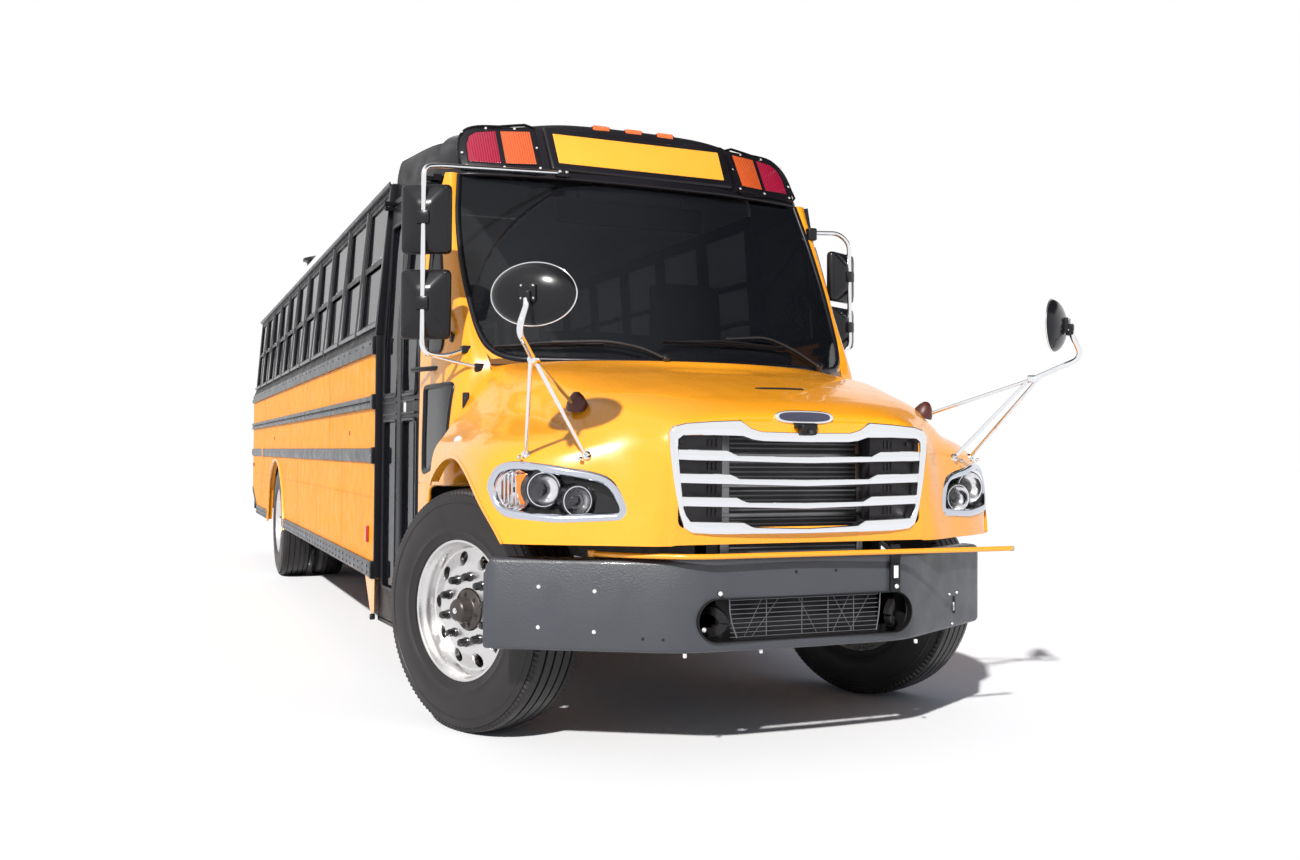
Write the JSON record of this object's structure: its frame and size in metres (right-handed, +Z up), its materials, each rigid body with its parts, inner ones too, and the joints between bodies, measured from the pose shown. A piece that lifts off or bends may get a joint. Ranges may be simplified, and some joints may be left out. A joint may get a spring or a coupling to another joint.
{
  "type": "school bus",
  "caption": "Conventional school bus with a tilting hood, folding entrance door, steered front wheels, twin rear wheels, mirrors, stop arm and crossing arm.",
  "frame": {"origin": "under the middle of the bus at ground level: centre of the bounding box in X and Y, bottom of the tyres in Z", "axes": "+X towards the driver (left) side, -Y towards the front, +Z up"},
  "size_m": [2.7002, 11.0448, 3.098],
  "materials": {
    "chassis_black": "satin black chassis paint",
    "radiator": "dark louvred fins",
    "steel_tank": "dull steel",
    "tyre": "matte black rubber",
    "polished_aluminium": "polished",
    "black_wheel": "satin black paint",
    "yellow_paint": "gloss yellow-orange paint",
    "roof_white": "gloss white paint",
    "black_paint": "satin black paint",
    "bumper_grey": "textured dark grey paint",
    "glass": "dark tinted, clear gloss",
    "chrome": "bright chrome",
    "mirror_black": "moulded black plastic",
    "headlamp": "clear polycarbonate lens",
    "lamp_red": "ribbed lens",
    "sign_yellow": "blank sign face",
    "sign_red": "blank reflective red",
    "floor_covering": "ribbed rubber",
    "seat_vinyl": "dark vinyl",
    "dash_plastic": "grained black plastic"
  },
  "bodies": {
    "bus": {"cowl": "yellow_paint", "crossmembers": "chassis_black", "dashboard": "dash_plastic", "door_frame": "black_paint", "driver_panel": "yellow_paint", "driveshaft": "chassis_black", "engine_block": "chassis_black", "entrance_steps": "floor_covering", "exhaust": "steel_tank", "floor": "floor_covering", "frame_rails": "chassis_black", "front_axle": "chassis_black", "front_bumper": "bumper_grey", "front_cap": "black_paint", "fuel_tank": "steel_tank", "lamps": "lamp_red", "leaf_springs": "chassis_black", "radiator": "radiator", "rear_axle": "chassis_black", "rear_bumper": "black_paint", "rear_wall": "yellow_paint", "roof": "roof_white", "rub_rails": "black_paint", "seats": "seat_vinyl", "side_mirrors": "mirror_black", "side_wall_left": "yellow_paint", "side_wall_right": "yellow_paint", "sign_front": "sign_yellow", "stop_arm_base": "black_paint", "transmission": "chassis_black", "window_frames": "black_paint", "window_glass": "glass", "windscreen": "glass", "wipers": "mirror_black"},
    "hood_body": {"hood": "yellow_paint", "grille": "chrome", "headlamps": "headlamp", "crossview_mirrors": "mirror_black"},
    "knuckle_right": {"front_knuckle_right": "chassis_black"},
    "front_wheel_right": {"front_tyre_right": "tyre", "front_wheel_right": "polished_aluminium"},
    "rear_wheels_right": {"rear_tyres_right": "tyre", "rear_wheels_right": "black_wheel"},
    "knuckle_left": {"front_knuckle_left": "chassis_black"},
    "front_wheel_left": {"front_tyre_left": "tyre", "front_wheel_left": "polished_aluminium"},
    "rear_wheels_left": {"rear_tyres_left": "tyre", "rear_wheels_left": "black_wheel"},
    "door_front": {"door_leaf_front": "black_paint", "door_glass_front": "glass"},
    "door_rear": {"door_leaf_rear": "black_paint", "door_glass_rear": "glass"},
    "rear_exit": {"rear_door": "black_paint", "rear_door_glass": "glass"},
    "stop_blade": {"stop_arm": "sign_red"},
    "crossing_gate": {"crossing_arm": "yellow_paint"},
    "hatch_front": {"roof_hatch_front": "roof_white"},
    "hatch_rear": {"roof_hatch_rear": "roof_white"},
    "helm": {"steering_wheel": "dash_plastic"}
  },
  "joints": [
    {"name": "steer_right", "type": "hinge", "parent": "bus", "child": "knuckle_right", "pos_m": [-0.912, -4.2485, 0.525], "axis": [0, 0, 1], "range_deg": [-66.3, 17.7]},
    {"name": "front_roll_right", "type": "hinge", "parent": "knuckle_right", "child": "front_wheel_right", "pos_m": [-1.03048, -4.302, 0.525], "axis": [0.9114, 0.4115, 0], "continuous": true},
    {"name": "rear_roll_right", "type": "hinge", "parent": "bus", "child": "rear_wheels_right", "pos_m": [-0.905, 2.6835, 0.525], "axis": [1, 0, 0], "continuous": true},
    {"name": "steer_left", "type": "hinge", "parent": "bus", "child": "knuckle_left", "pos_m": [0.912, -4.2485, 0.525], "axis": [0, 0, 1], "range_deg": [-66.3, 17.7]},
    {"name": "front_roll_left", "type": "hinge", "parent": "knuckle_left", "child": "front_wheel_left", "pos_m": [1.03048, -4.195, 0.525], "axis": [0.9114, 0.4115, 0], "continuous": true},
    {"name": "rear_roll_left", "type": "hinge", "parent": "bus", "child": "rear_wheels_left", "pos_m": [0.905, 2.6835, 0.525], "axis": [1, 0, 0], "continuous": true},
    {"name": "steering_wheel_turn", "type": "hinge", "parent": "bus", "child": "helm", "pos_m": [0.64, -3.4435, 1.8], "axis": [0, -0.5501, -0.8351], "range_deg": [-1060.8, 283.2]},
    {"name": "entrance_door_front", "type": "hinge", "parent": "bus", "child": "door_front", "pos_m": [-1.13483, -3.47911, 1.4], "axis": [0, 0, 1], "range_deg": [0, 88]},
    {"name": "entrance_door_rear", "type": "hinge", "parent": "bus", "child": "door_rear", "pos_m": [-1.18353, -2.76477, 1.4], "axis": [0, 0, 1], "range_deg": [-88, 0]},
    {"name": "rear_exit_swing", "type": "hinge", "parent": "bus", "child": "rear_exit", "pos_m": [-0.439, 5.3905, 1.8], "axis": [0, 0, 1], "range_deg": [0, 110]},
    {"name": "hood_tilt", "type": "hinge", "parent": "bus", "child": "hood_body", "pos_m": [0, -5.3185, 0.845], "axis": [1, 0, 0], "range_deg": [0, 62]},
    {"name": "stop_arm_swing", "type": "hinge", "parent": "bus", "child": "stop_blade", "pos_m": [1.273, -2.9035, 1.59], "axis": [0, 0, 1], "range_deg": [-90, 0]},
    {"name": "crossing_arm_swing", "type": "hinge", "parent": "bus", "child": "crossing_gate", "pos_m": [-0.8, -5.0715, 0.818], "axis": [0, 0, 1], "range_deg": [-110, 0]},
    {"name": "roof_hatch_front_tilt", "type": "hinge", "parent": "bus", "child": "hatch_front", "pos_m": [0, -0.8545, 3.08], "axis": [1, 0, 0], "range_deg": [0, 60]},
    {"name": "roof_hatch_rear_tilt", "type": "hinge", "parent": "bus", "child": "hatch_rear", "pos_m": [0, 2.7455, 3.08], "axis": [1, 0, 0], "range_deg": [0, 60]}
  ],
  "couplings": [
    {"joint": "steer_left", "follows": "steer_right", "ratio": 1},
    {"joint": "entrance_door_rear", "follows": "entrance_door_front", "ratio": -1},
    {"joint": "steering_wheel_turn", "follows": "steer_right", "ratio": 16}
  ]
}
